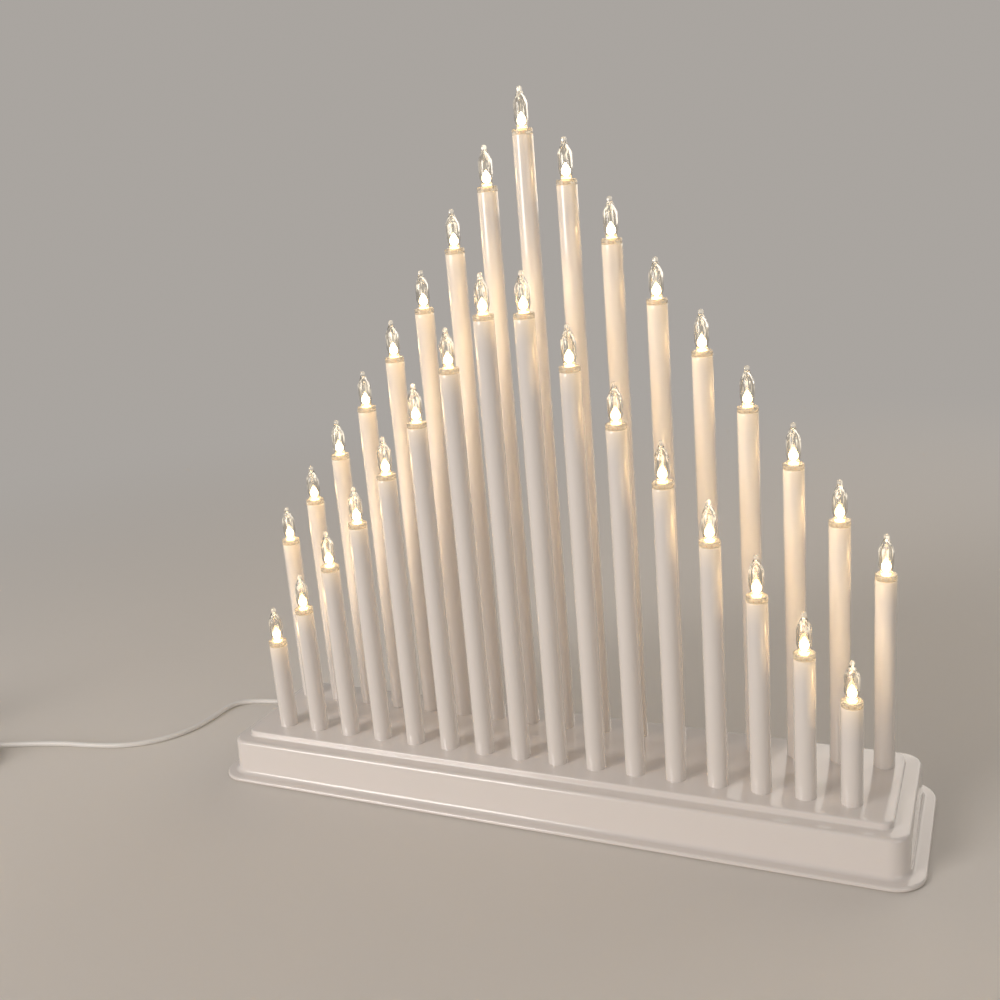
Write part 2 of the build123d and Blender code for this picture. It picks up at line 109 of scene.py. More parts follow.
floor_paint = bpy.data.materials.new("floor_paint")
floor_paint.use_nodes = True
tree = floor_paint.node_tree
paint = tree.nodes["Principled BSDF"]
set_values(paint, {
    "Base Color": FLOOR_TONE, "Roughness": FLOOR_ROUGHNESS, "Specular IOR Level": FLOOR_SHINE})
place = tree.nodes.new("ShaderNodeTexCoord")
reach = tree.nodes.new("ShaderNodeVectorMath")
reach.operation = "LENGTH"
fade = tree.nodes.new("ShaderNodeMapRange")
fade.interpolation_type = "SMOOTHSTEP"
set_values(fade, {"From Min": FLOOR_NEAR, "From Max": FLOOR_FAR})
haze = tree.nodes.new("ShaderNodeEmission")
haze.inputs["Color"].default_value = PALE
blend = tree.nodes.new("ShaderNodeMixShader")
tree.links.new(place.outputs["Object"], reach.inputs[0])
tree.links.new(reach.outputs["Value"], fade.inputs["Value"])
tree.links.new(fade.outputs["Result"], blend.inputs["Fac"])
tree.links.new(paint.outputs["BSDF"], blend.inputs[1])
tree.links.new(haze.outputs["Emission"], blend.inputs[2])
tree.links.new(blend.outputs["Shader"], tree.nodes["Material Output"].inputs["Surface"])
floor.data.materials.append(floor_paint)

for lamp_name, lamp_place, lamp_size, lamp_power, lamp_colour in LAMPS:
    bpy.ops.object.light_add(type="AREA", location=lamp_place)
    lamp = bpy.context.object
    lamp.name = lamp_name
    lamp.data.shape = "RECTANGLE"
    lamp.data.size, lamp.data.size_y = lamp_size
    lamp.data.energy = lamp_power
    lamp.data.color = lamp_colour
    lamp.rotation_euler = (LAMP_AIM - lamp.location).to_track_quat("-Z", "Y").to_euler()

world = bpy.data.worlds.new("studio")
world.use_nodes = True
bpy.context.scene.world = world
tree = world.node_tree
sky = tree.nodes["Background"]
set_values(sky, {"Color": AMBIENT, "Strength": AMBIENT_STRENGTH})
seen = tree.nodes.new("ShaderNodeBackground")
seen.inputs["Color"].default_value = PALE
ray = tree.nodes.new("ShaderNodeLightPath")
straight = reckon(
    tree, "MAXIMUM", ray.outputs["Is Camera Ray"], ray.outputs["Is Glossy Ray"])
bent = reckon(tree, "MAXIMUM", straight, ray.outputs["Is Transmission Ray"])
blend = tree.nodes.new("ShaderNodeMixShader")
tree.links.new(bent, blend.inputs["Fac"])
tree.links.new(sky.outputs["Background"], blend.inputs[1])
tree.links.new(seen.outputs["Background"], blend.inputs[2])
tree.links.new(blend.outputs["Shader"], tree.nodes["World Output"].inputs["Surface"])

# ---------------------------------------------------------------- the base cover
# The long base is one glossy white moulding: a flange, a leaning wall with a rounded rim, a
# ledge and a raised deck. Every edge is softened, as a mould leaves it, and it is hollow below.
FLANGE_LENGTH, FLANGE_DEPTH = 0.376, 0.0956
FLANGE_LOW, FLANGE_TOP, LEDGE_TOP, DECK_TOP = 0.0005, 0.0025, 0.0216, 0.0249
LEDGE_UNDER, DECK_UNDER = 0.0194, 0.0227
WALL_IN, RIM_IN, DECK_IN = 0.0063, 0.00697, 0.01427
HOLLOW_IN, HOLLOW_DRAFT, DECK_HOLLOW_IN = 0.0085, 0.0006, 0.01647
FLANGE_CORNER, WALL_CORNER, DECK_CORNER, DECK_HOLLOW_CORNER = 0.015, 0.010, 0.0052, 0.0023
FLANGE_EASE, FLANGE_ROUND, ROOT_ROUND = 0.0003, 0.0012, 0.0024
RIM_ROUND, FOOT_ROUND, DECK_ROUND = 0.0019, 0.0008, 0.0010
ROUND_STEPS = 5
CORNER_STEPS = 8
MERGE_REACH = 0.000005
SMOOTH_ANGLE = 35
CAP_CORNERS = 9
COVER_WHITE = (0.84, 0.78, 0.735, 1)
CLOUD_SCALE, CLOUD_MIDDLE = 22.0, 0.5
PATCH_SCALE, PATCH_LOW, PATCH_HIGH = 140.0, 0.35, 0.65


def round_over(low_in, low, size, corner, hollow):
    """The outline places round an edge: outwards over it, or into it where it is hollow."""
    places = []
    for step in range(ROUND_STEPS + 1):
        turn = math.pi / 2 * step / ROUND_STEPS
        if hollow:
            inset, rise = size * math.sin(turn) - size, size - size * math.cos(turn)
        else:
            inset, rise = size - size * math.cos(turn), size * math.sin(turn) - size
        places.append((low_in + inset, low + rise, corner - inset))
    return places


cover_places = [
    (HOLLOW_IN, FLANGE_LOW, FLANGE_CORNER - HOLLOW_IN),
    (FLANGE_EASE, FLANGE_LOW, FLANGE_CORNER - FLANGE_EASE),
    (0.0, FLANGE_LOW + FLANGE_EASE, FLANGE_CORNER),
    *round_over(0.0, FLANGE_TOP, FLANGE_ROUND, FLANGE_CORNER, False),
    *round_over(WALL_IN, FLANGE_TOP, ROOT_ROUND, WALL_CORNER, True),
    *round_over(RIM_IN, LEDGE_TOP, RIM_ROUND, WALL_CORNER - RIM_IN + WALL_IN, False),
    *round_over(DECK_IN, LEDGE_TOP, FOOT_ROUND, DECK_CORNER, True),
    *round_over(DECK_IN, DECK_TOP, DECK_ROUND, DECK_CORNER, False),
]
room_places = [
    (HOLLOW_IN + HOLLOW_DRAFT, LEDGE_UNDER, FLANGE_CORNER - HOLLOW_IN - HOLLOW_DRAFT),
    (DECK_HOLLOW_IN, LEDGE_UNDER, DECK_HOLLOW_CORNER),
    (DECK_HOLLOW_IN, DECK_UNDER, DECK_HOLLOW_CORNER),
]


def add_outline(length, depth, station):
    """Adds a rounded rectangle to the mesh in hand, at an inset, a height and a corner."""
    inset, height, corner = station
    bpy.ops.mesh.select_mode(type="VERT")
    bpy.ops.mesh.select_all(action="DESELECT")
    bpy.ops.mesh.primitive_plane_add(size=1, location=(0, 0, height))
    bpy.ops.transform.resize(value=(length - 2 * inset, depth - 2 * inset, 1))
    bpy.ops.mesh.bevel(
        offset=corner, offset_type="OFFSET", segments=CORNER_STEPS, affect="VERTICES",
        profile=0.5)


def draw_outline(piece, length, depth, stations):
    """Extrudes the selected rounded rectangle from the first station through all the others."""
    for old, new in zip(stations, stations[1:]):
        bpy.ops.mesh.extrude_region_move()
        mesh = bmesh.from_edit_mesh(piece.data)
        for vertex in mesh.verts:
            if not vertex.select:
                continue
            place = []
            for value, reach in ((vertex.co.x, length / 2), (vertex.co.y, depth / 2)):
                share = (abs(value) - reach + old[0] + old[2]) / old[2]
                place.append(math.copysign(reach - new[0] - new[2] + share * new[2], value))
            vertex.co = (*place, new[1])
        bmesh.update_edit_mesh(piece.data)


def begin_piece(name):
    """A new empty mesh object, open for editing."""
    bpy.ops.object.select_all(action="DESELECT")
    mesh = bpy.data.meshes.new(name)
    piece = bpy.data.objects.new(name, mesh)
    bpy.context.scene.collection.objects.link(piece)
    bpy.context.view_layer.objects.active = piece
    piece.select_set(True)
    bpy.ops.object.mode_set(mode="EDIT")
    return piece


def close_piece(piece, smooth=SMOOTH_ANGLE):
    """Merges doubles, turns the faces outwards, and shades all but the sharp edges smooth."""
    bpy.ops.mesh.select_all(action="SELECT")
    bpy.ops.mesh.remove_doubles(threshold=MERGE_REACH)
    bpy.ops.mesh.normals_make_consistent(inside=False)
    bpy.ops.object.mode_set(mode="OBJECT")
    bpy.ops.object.shade_smooth_by_angle(angle=math.radians(smooth))
    bpy.ops.object.select_all(action="DESELECT")
    return piece


def select_by(piece, test):
    """Selects the faces of the mesh in hand that a test picks, and only those."""
    bpy.ops.mesh.select_mode(type="FACE")
    bpy.ops.mesh.select_all(action="DESELECT")
    mesh = bmesh.from_edit_mesh(piece.data)
    for face in mesh.faces:
        face.select_set(test(face))
    bmesh.update_edit_mesh(piece.data)


def is_cap(face):
    """Whether a face closes a rounded outline: it has more corners than any other face."""
    return len(face.verts) >= CAP_CORNERS


cover = begin_piece("moulded_cover")
add_outline(FLANGE_LENGTH, FLANGE_DEPTH, cover_places[0])
draw_outline(cover, FLANGE_LENGTH, FLANGE_DEPTH, cover_places)
select_by(cover, lambda face: is_cap(face) and face.calc_center_median().z < FLANGE_TOP)
draw_outline(cover, FLANGE_LENGTH, FLANGE_DEPTH, [cover_places[0], *room_places])
close_piece(cover, smooth=50)


def skin_group():
    """The skin of a moulded piece: a slow waviness, a fine grain, and an uneven tone and gloss."""
    group = bpy.data.node_groups.new("moulded_skin", "ShaderNodeTree")
    face = group.interface
    for name, kind, default in (
        ("Colour", "NodeSocketColor", (0.8, 0.8, 0.8, 1)),
        ("Gloss Low", "NodeSocketFloat", 0.2),
        ("Gloss High", "NodeSocketFloat", 0.3),
        ("Tone Spread", "NodeSocketFloat", 0.03),
        ("Wave Scale", "NodeSocketFloat", 60.0),
        ("Wave Height", "NodeSocketFloat", 0.00004),
        ("Grain Scale", "NodeSocketFloat", 1500.0),
        ("Grain Height", "NodeSocketFloat", 0.000004),
    ):
        socket = face.new_socket(name, in_out="INPUT", socket_type=kind)
        socket.default_value = default
    for name, kind in (
        ("Colour", "NodeSocketColor"), ("Roughness", "NodeSocketFloat"),
        ("Normal", "NodeSocketVector"),
    ):
        face.new_socket(name, in_out="OUTPUT", socket_type=kind)
    nodes, links = group.nodes, group.links
    given = nodes.new("NodeGroupInput")
    result = nodes.new("NodeGroupOutput")
    where = nodes.new("ShaderNodeTexCoord")

    def noise(scale, detail):
        """A noise of a scale that is given in metres or by an input of the group."""
        texture = nodes.new("ShaderNodeTexNoise")
        texture.inputs["Detail"].default_value = detail
        links.new(where.outputs["Object"], texture.inputs["Vector"])
        if isinstance(scale, str):
            links.new(given.outputs[scale], texture.inputs["Scale"])
        else:
            texture.inputs["Scale"].default_value = scale
        return texture.outputs["Fac"]

    def relief(texture, height):
        """A bump that raises a texture by the height that an input of the group gives."""
        bump = nodes.new("ShaderNodeBump")
        bump.inputs["Strength"].default_value = 1.0
        links.new(given.outputs[height], bump.inputs["Distance"])
        links.new(texture, bump.inputs["Height"])
        return bump

    wave = relief(noise("Wave Scale", detail=1.5), "Wave Height")
    grain = relief(noise("Grain Scale", detail=2.0), "Grain Height")
    links.new(wave.outputs["Normal"], grain.inputs["Normal"])
    links.new(grain.outputs["Normal"], result.inputs["Normal"])

    gloss = nodes.new("ShaderNodeMapRange")
    set_values(gloss, {"From Min": PATCH_LOW, "From Max": PATCH_HIGH})
    links.new(noise(PATCH_SCALE, detail=3.0), gloss.inputs["Value"])
    links.new(given.outputs["Gloss Low"], gloss.inputs["To Min"])
    links.new(given.outputs["Gloss High"], gloss.inputs["To Max"])
    links.new(gloss.outputs["Result"], result.inputs["Roughness"])

    cloud = reckon(group, "SUBTRACT", noise(CLOUD_SCALE, detail=4.0), CLOUD_MIDDLE)
    tone = reckon(group, "MULTIPLY_ADD", cloud, given.outputs["Tone Spread"], 1.0)
    tint = nodes.new("ShaderNodeHueSaturation")
    links.new(tone, tint.inputs["Value"])
    links.new(given.outputs["Colour"], tint.inputs["Color"])
    links.new(tint.outputs["Color"], result.inputs["Colour"])
    return group


moulded_skin = skin_group()


def moulded(
        name, colour, gloss, tone=0.06, wave=(60.0, 0.00004), grain=(1500.0, 0.000004), own=None):
    """A plastic, rubber or metal: its colour, the range of its gloss, how far its tone strays,
    its waviness and its grain, each a scale and a height, and the shader's own values."""
    material = bpy.data.materials.new(name)
    material.use_nodes = True
    tree = material.node_tree
    skin = tree.nodes.new("ShaderNodeGroup")
    skin.node_tree = moulded_skin
    set_values(skin, {
        "Colour": colour, "Gloss Low": gloss[0], "Gloss High": gloss[1], "Tone Spread": tone,
        "Wave Scale": wave[0], "Wave Height": wave[1],
        "Grain Scale": grain[0], "Grain Height": grain[1]})
    paint = tree.nodes["Principled BSDF"]
    set_values(paint, own or {})
    tree.links.new(skin.outputs["Colour"], paint.inputs["Base Color"])
    tree.links.new(skin.outputs["Roughness"], paint.inputs["Roughness"])
    tree.links.new(skin.outputs["Normal"], paint.inputs["Normal"])
    return material


cover_white = moulded(
    "cover_white", COVER_WHITE, gloss=(0.17, 0.21), tone=0.03,
    wave=(38.0, 0.00003), grain=(1700.0, 0.000002),
    own={
        "IOR": 1.5, "Coat Weight": 0.8, "Coat Roughness": 0.06,
        "Subsurface Weight": 0.06, "Subsurface Radius": (0.002, 0.0015, 0.001)})
cover.data.materials.append(cover_white)
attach(cover, "arch")
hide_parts("base_cover")

# ---------------------------------------------------------------- the plate, feet and screws
# A flat plate of the same plastic, with a satin face, closes the base from below. Six small
# zinc-plated screws hold it to posts in the cover, and four rubber pads carry the arch.
FOOT_SIDES, SCREW_SIDES = 32, 24
FOOT_RINGS = (
    (0.0, 0.0041), (0.0001, 0.0045), (0.0004, 0.0049), (0.0009, 0.0050), (0.0017, 0.0050))
FOOT_PLACES = ((-0.1505, -0.0253), (-0.1505, 0.0253), (0.1505, -0.0253), (0.1505, 0.0253))
SCREW_RINGS = (
    (0.00062, 0.0013), (0.00066, 0.0019), (0.00082, 0.0023), (0.00115, 0.0026), (0.0017, 0.0026),
    (0.0017, 0.0013), (0.0100, 0.0013), (0.0106, 0.0006))
SLOT_LONG, SLOT_WIDE, SLOT_HIGH, SLOT_MIDDLE = 0.0028, 0.0005, 0.0014, 0.0006
SCREW_PLACES = tuple((x, y) for x in (-0.1645, 0.0, 0.1645) for y in (-0.0358, 0.0358))


def ring_stack(rings, sides):
    """A round closed form in the mesh in hand, drawn up ring by ring from a disc."""
    (height, radius), *rest = rings
    bpy.ops.mesh.select_all(action="DESELECT")
    bpy.ops.mesh.primitive_circle_add(
        vertices=sides, radius=radius, fill_type="NGON", location=(0, 0, height))
    for next_height, next_radius in rest:
        bpy.ops.mesh.extrude_region_move(
            TRANSFORM_OT_translate={"value": (0, 0, next_height - height)})
        share = next_radius / radius
        bpy.ops.transform.resize(value=(share, share, 1))
        height, radius = next_height, next_radius


def shift_copy(piece, offset, name):
    """A copy of a piece with its own mesh, moved in its mesh."""
    twin = piece.copy()
    twin.data = piece.data.copy()
    twin.name = name
    twin.data.transform(Matrix.Translation(offset))
    bpy.context.scene.collection.objects.link(twin)
    return twin


def join_pieces(pieces, name):
    """Several pieces as one."""
    bpy.ops.object.select_all(action="DESELECT")
    for piece in pieces:
        piece.select_set(True)
    bpy.context.view_layer.objects.active = pieces[0]
    if len(pieces) > 1:
        bpy.ops.object.join()
    pieces[0].name = name
    bpy.ops.object.select_all(action="DESELECT")
    return pieces[0]


def cut_away(piece, size, place):
    """Takes a block of this size and place out of a piece."""
    bpy.ops.object.select_all(action="DESELECT")
    bpy.ops.mesh.primitive_cube_add(size=1, location=place)
    block = bpy.context.object
    block.scale = size
    cut = piece.modifiers.new("cut", "BOOLEAN")
    cut.operation = "DIFFERENCE"
    cut.solver = "EXACT"
    cut.object = block
    bpy.context.view_layer.objects.active = piece
    bpy.ops.object.modifier_apply(modifier="cut")
    bpy.data.objects.remove(block)


foot = begin_piece("foot_model")
ring_stack(FOOT_RINGS, FOOT_SIDES)
close_piece(foot, smooth=40)
feet = join_pieces(
    [shift_copy(foot, Vector((x, y, 0)), "foot_copy") for x, y in FOOT_PLACES], "feet_pads")
bpy.data.objects.remove(foot)
foot_rubber = moulded(
    "foot_rubber", (0.11, 0.105, 0.10, 1), gloss=(0.65, 0.85), tone=0.25,
    wave=(220.0, 0.00002), grain=(2600.0, 0.00002))
feet.data.materials.append(foot_rubber)
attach(feet, "arch")
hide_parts("rubber_feet")

screw = begin_piece("screw_model")
ring_stack(SCREW_RINGS, SCREW_SIDES)
close_piece(screw)
cut_away(screw, (SLOT_LONG, SLOT_WIDE, SLOT_HIGH), (0, 0, SLOT_MIDDLE))
cut_away(screw, (SLOT_WIDE, SLOT_LONG, SLOT_HIGH), (0, 0, SLOT_MIDDLE))
screws = join_pieces(
    [shift_copy(screw, Vector((x, y, 0)), "screw_copy") for x, y in SCREW_PLACES], "plate_screws")
bpy.data.objects.remove(screw)
screw_zinc = moulded(
    "screw_zinc", (0.62, 0.61, 0.58, 1), gloss=(0.22, 0.48), tone=0.25,
    wave=(300.0, 0.00001), grain=(4200.0, 0.000006), own={"Metallic": 1.0})
screws.data.materials.append(screw_zinc)
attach(screws, "arch")
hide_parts("cover_screws")

plate_white = moulded(
    "plate_white", (0.80, 0.765, 0.725, 1), gloss=(0.42, 0.60), tone=0.08,
    wave=(30.0, 0.00006), grain=(2200.0, 0.00002))
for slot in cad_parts["bottom_plate"].material_slots:
    slot.material = plate_white

# ---------------------------------------------------------------- the candle tubes
# Thirty-three white tubes, drawn from the same plastic and cut to eleven lengths. Each stands
# through the deck on the base's floor plate and is hollow for its wires. A warm glow is
# painted on each tube's top, fading downwards, in place of the lamp's light in the plastic.
TUBE_RADIUS, TUBE_BORE, TUBE_BORE_DEEP = 0.005, 0.0039, 0.012
TUBE_FOOT = 0.0067
TUBE_EASE, TUBE_LIP = 0.00025, 0.0002
TUBE_SIDES = 40
FACING = 0.9
HOLDER_RIM = 0.0027
LAMP_CLEAR = 0.0001
PRONG_DEPTH = 0.006
TOP_MATCH = 0.0002
GLOW_REACH = 0.016
GLOW_RINGS = (1.0, 0.6, 0.3, 0.12)
TUBE_WHITE = (0.84, 0.785, 0.735, 1)
TUBE_PAINTED_GLOW = (0.40, 0.26, 0.10, 1)
UNLIT = (0, 0, 0, 1)

lamp_nodes = sorted(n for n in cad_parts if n.startswith("lamp_") and n != "lamp_holders")
lamp_seats = {}
for lamp_node in lamp_nodes:
    low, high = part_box(lamp_node)
    lamp_seats[lamp_node] = Vector(
        ((low.x + high.x) / 2, (low.y + high.y) / 2, low.z + PRONG_DEPTH))


def tube_top(seat):
    """The height of the tube's end under a lamp's seat."""
    return seat.z - HOLDER_RIM - LAMP_CLEAR


def store_glow(piece, glow_at):
    """Keeps in a piece's mesh how brightly each of its points glows: the lamp's own light,
    or a glow painted on the pieces round it.
    """
    glow = piece.data.attributes.new("glow", "FLOAT", "POINT")
    for vertex, value in zip(piece.data.vertices, glow.data):
        value.value = glow_at(vertex.co)


def glow_mask(tree):
    """The output that reads a piece's glow."""
    mask = tree.nodes.new("ShaderNodeAttribute")
    mask.attribute_name = "glow"
    return mask.outputs["Fac"]


def mixed(tree, factor, low, high):
    """A node that goes from one colour to another by another node's output."""
    mix = tree.nodes.new("ShaderNodeMix")
    mix.data_type = "RGBA"
    set_values(mix, {"A": low, "B": high})
    tree.links.new(factor, mix.inputs["Factor"])
    return mix


def shine(tree, mask, colour, unlit=UNLIT):
    """Gives a material a light of its own in a colour, as far as its mask says: the lamp's
    light, or a painted glow on the pieces round it.
    """
    light = mixed(tree, mask, unlit, colour)
    paint = tree.nodes["Principled BSDF"]
    tree.links.new(light.outputs["Result"], paint.inputs["Emission Color"])


def candle_tube(top):
    """One tube from the floor plate to its top, with an eased top edge and a bore."""
    tube = begin_piece("candle_tube")
    bpy.ops.mesh.primitive_cylinder_add(
        vertices=TUBE_SIDES, radius=TUBE_RADIUS, depth=top - TUBE_FOOT,
        location=(0, 0, (top + TUBE_FOOT) / 2))
    select_by(tube, lambda face: face.normal.z > FACING)
    bpy.ops.mesh.bevel(offset=TUBE_EASE, segments=2, affect="EDGES")
    select_by(tube, lambda face: face.normal.z > FACING)
    bpy.ops.mesh.inset(thickness=TUBE_RADIUS - TUBE_BORE - TUBE_LIP)
    bpy.ops.mesh.extrude_region_move(TRANSFORM_OT_translate={"value": (0, 0, -TUBE_BORE_DEEP)})
    # Rings that let the painted glow fade down from the tube's top.
    for share in GLOW_RINGS:
        bpy.ops.mesh.select_all(action="SELECT")
        bpy.ops.mesh.bisect(plane_co=(0, 0, top - GLOW_REACH * share), plane_no=(0, 0, 1))
    close_piece(tube, smooth=40)
    store_glow(tube, lambda place: max(0.0, 1 - (top - place.z) / GLOW_REACH) ** 2)
    return tube


tube_white = moulded(
    "tube_white", TUBE_WHITE, gloss=(0.08, 0.11), tone=0.03,
    wave=(30.0, 0.00003), grain=(1400.0, 0.000001),
    own={"Coat Weight": 1.0, "Coat Roughness": 0.03, "Emission Strength": 0.6})
# Painted glow: warm light of the tube's own at its top, fading downwards.
shine(tube_white.node_tree, glow_mask(tube_white.node_tree), TUBE_PAINTED_GLOW)

tube_tops = sorted({round(tube_top(seat), 5) for seat in lamp_seats.values()})
for level, top in enumerate(tube_tops):
    model = candle_tube(top)
    copies = [
        shift_copy(model, Vector((seat.x, seat.y, 0)), "tube_copy")
        for seat in lamp_seats.values()
        if abs(tube_top(seat) - top) < TOP_MATCH]
    bpy.data.objects.remove(model)
    tubes = join_pieces(copies, f"tubes_{level + 1:02d}")
    tubes.data.materials.append(tube_white)
    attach(tubes, "arch")
    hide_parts(f"candle_tubes_{level + 1:02d}")

# ---------------------------------------------------------------- the lamp holders
# A holder of milky, half clear plastic is pushed into each tube's end: a rim as wide as the
# tube, with a recess for the lamp's foot. The lamp's light that it takes up round the foot is
# painted on as a warm glow of its own, fading outwards and faint on the outer wall.
HOLDER_RINGS = (
    (-0.0077, 0.0034), (-0.0075, 0.0037), (-0.0027, 0.0037), (-0.0027, 0.00485),
    (-0.0025, 0.0050), (-0.0006, 0.0050), (-0.0003, 0.00494), (-0.0001, 0.0048), (0.0, 0.0045),
    (0.0, 0.0040), (-0.0001, 0.0037), (-0.0004, 0.0035), (-0.0014, 0.0034), (-0.0015, 0.0030))
SOCKET_SIZE, SOCKET_MIDDLE = (0.0044, 0.0032, 0.012), (0, 0, -0.003)
HOLDER_MILK = (0.70, 0.655, 0.58, 1)
HOLDER_PAINTED_GLOW = (1.0, 0.84, 0.60, 1)
HOLDER_FADE = 1.6
HOLDER_WALL, HOLDER_WALL_PAINTED_GLOW = 0.95, 0.10


def holder_painted_glow(place):
    """Painted glow: brightest round the lamp's foot, fading outwards, faint on the outer wall."""
    away = math.hypot(place.x, place.y) / TUBE_RADIUS
    if away < HOLDER_WALL:
        return max(0.0, min(1.0, HOLDER_FADE - HOLDER_FADE * away))
    return HOLDER_WALL_PAINTED_GLOW * max(0.0, 1 + place.z / HOLDER_RIM)


holder = begin_piece("holder_model")
ring_stack(HOLDER_RINGS, TUBE_SIDES)
close_piece(holder)
cut_away(holder, SOCKET_SIZE, SOCKET_MIDDLE)
store_glow(holder, holder_painted_glow)

holder_milk = moulded(
    "holder_milk", HOLDER_MILK, gloss=(0.16, 0.26), tone=0.04, wave=(300.0, 0.00001),
    own={"Transmission Weight": 0.75, "IOR": 1.45, "Emission Strength": 0.35})
# Painted glow: warm light of the holder's own, strongest round the lamp's foot.
shine(holder_milk.node_tree, glow_mask(holder_milk.node_tree), HOLDER_PAINTED_GLOW)

holder_drop = Vector((0, 0, LAMP_CLEAR))
holders = join_pieces(
    [shift_copy(holder, seat - holder_drop, "holder_copy") for seat in lamp_seats.values()],
    "holders")
bpy.data.objects.remove(holder)
holders.data.materials.append(holder_milk)
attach(holders, "arch")
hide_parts("lamp_holders")

# ---------------------------------------------------------------- the lamps
# Clear flame-shaped lamps, blown with a drawn-in neck, a straight side, shoulders that run to
# a point and a small bead at the tip. A warm light stands in the lower half. The glass has a
# painted glow, in upright streaks and on the bead, and a painted shade along its outline.
LENS_SIDES, LIGHT_SIDES = 32, 16
LENS_OUTSIDE = (
    (-0.0012, 0.00235), (-0.0010, 0.00258), (0.0004, 0.00262), (0.0014, 0.00280),
    (0.0026, 0.00314), (0.0037, 0.00340), (0.0048, 0.00350), (0.0108, 0.00350),
    (0.0115, 0.00346), (0.0121, 0.00330), (0.0134, 0.00272), (0.0148, 0.00205),
    (0.0160, 0.00148), (0.0166, 0.00122), (0.0170, 0.00116), (0.0174, 0.00122),
    (0.0179, 0.00127), (0.0184, 0.00118), (0.0188, 0.00088), (0.01905, 0.00042))
LENS_INSIDE = (
    (0.0004, 0.00150), (0.0012, 0.00205), (0.0026, 0.00250), (0.0040, 0.00278),
    (0.0052, 0.00285), (0.0104, 0.00285), (0.0114, 0.00270), (0.0128, 0.00215),
    (0.0142, 0.00148), (0.0153, 0.00085), (0.0158, 0.00035))
LENS_GLOW_HEIGHTS = (
    (0.0, 0.40), (0.0040, 0.15), (0.0085, 0.25), (0.0112, 1.0), (0.0145, 0.80), (0.0166, 0.9),
    (0.0174, 1.2))
LENS_CLEAR, LENS_SMOKE = (1.0, 0.985, 0.95, 1), (0.97, 0.93, 0.86, 1)
LENS_OUTLINE_SHADE, LENS_EDGE_BLEND = (0.46, 0.43, 0.39, 1), 0.42
LENS_PAINTED_GLOW = (1.0, 0.88, 0.68, 1)
RIPPLE_SCALE, RIPPLE_HEIGHT = 420.0, 0.00008
HAZE_LOW, HAZE_HIGH = 0.01, 0.05
STREAK_SCALE, STREAK_STRETCH = 900.0, (1.0, 1.0, 0.16)
STREAK_LOW, STREAK_HIGH = 0.56, 0.68
LIGHT = (
    (0.0012, 0.0006), (0.0016, 0.0013), (0.0023, 0.0019), (0.0033, 0.00215), (0.0043, 0.00205),
    (0.0052, 0.0016), (0.0060, 0.0011), (0.0068, 0.0006), (0.0074, 0.0002))
LIGHT_FOOT = ((-0.0009, 0.0012), (-0.0004, 0.0017), (0.0002, 0.0017), (0.0007, 0.0010))
LIGHT_FOOT_TOP, LIGHT_FOOT_GLOW = 0.00075, 0.04
LIGHT_FADE_END, LIGHT_FADE = 0.0086, 0.0040
LIGHT_BODY = (0.9, 0.75, 0.5, 1)
LIGHT_DIM, LIGHT_BRIGHT = (0.04, 0.02, 0.006, 1), (1.0, 0.71, 0.36, 1)
PRONG_SIZE, PRONG_MIDDLE = (0.0040, 0.0026, 0.0048), -0.0035
PRONG_TAPER, PRONG_EASE = (0.85, 0.75, 1), 0.0003
CONTACT_SIDES, CONTACT_RADIUS, CONTACT_LONG, CONTACT_EASE = 10, 0.00025, 0.0042, 0.00008
CONTACT_ASIDE, CONTACT_FRONT, CONTACT_MIDDLE = 0.0009, -0.0012, -0.0037


def lens_painted_glow(place):
    """How strong the glow painted on the lens is at a height, from the table of heights."""
    caught = 0.0
    for (low, low_glow), (high, high_glow) in zip(LENS_GLOW_HEIGHTS, LENS_GLOW_HEIGHTS[1:]):
        if place.z >= low:
            share = min(1.0, (place.z - low) / (high - low))
            caught = low_glow + (high_glow - low_glow) * share
    return caught


def light_glow(place):
    """Full on the light's body, less towards its tip, and hardly any on its foot."""
    if place.z > LIGHT_FOOT_TOP:
        return max(0.0, min(1.0, (LIGHT_FADE_END - place.z) / LIGHT_FADE))
    return LIGHT_FOOT_GLOW


lens = begin_piece("lens_model")
ring_stack(LENS_OUTSIDE, LENS_SIDES)
close_piece(lens, smooth=60)
hollow = begin_piece("lens_hollow")
ring_stack(LENS_INSIDE, LENS_SIDES)
close_piece(hollow, smooth=60)
hollow.data.flip_normals()
light = begin_piece("light_model")
ring_stack(LIGHT, LIGHT_SIDES)
ring_stack(LIGHT_FOOT, LIGHT_SIDES)
close_piece(light, smooth=60)
store_glow(lens, lens_painted_glow)
store_glow(hollow, lens_painted_glow)
store_glow(light, light_glow)

prong = begin_piece("prong_model")
bpy.ops.mesh.primitive_cube_add(size=1, location=(0, 0, PRONG_MIDDLE))
bpy.ops.transform.resize(value=PRONG_SIZE)
select_by(prong, lambda face: face.normal.z < -FACING)
bpy.ops.transform.resize(value=PRONG_TAPER)
bpy.ops.mesh.select_all(action="SELECT")
bpy.ops.mesh.bevel(offset=PRONG_EASE, segments=2, affect="EDGES")
close_piece(prong)
contacts = []
for side in (-1, 1):
    contact = begin_piece("contact_model")
    bpy.ops.mesh.primitive_cylinder_add(
        vertices=CONTACT_SIDES, radius=CONTACT_RADIUS, depth=CONTACT_LONG,
        location=(side * CONTACT_ASIDE, CONTACT_FRONT, CONTACT_MIDDLE))
    bpy.ops.mesh.select_all(action="SELECT")
    bpy.ops.mesh.bevel(offset=CONTACT_EASE, segments=1, affect="EDGES")
    contacts.append(close_piece(contact, smooth=50))

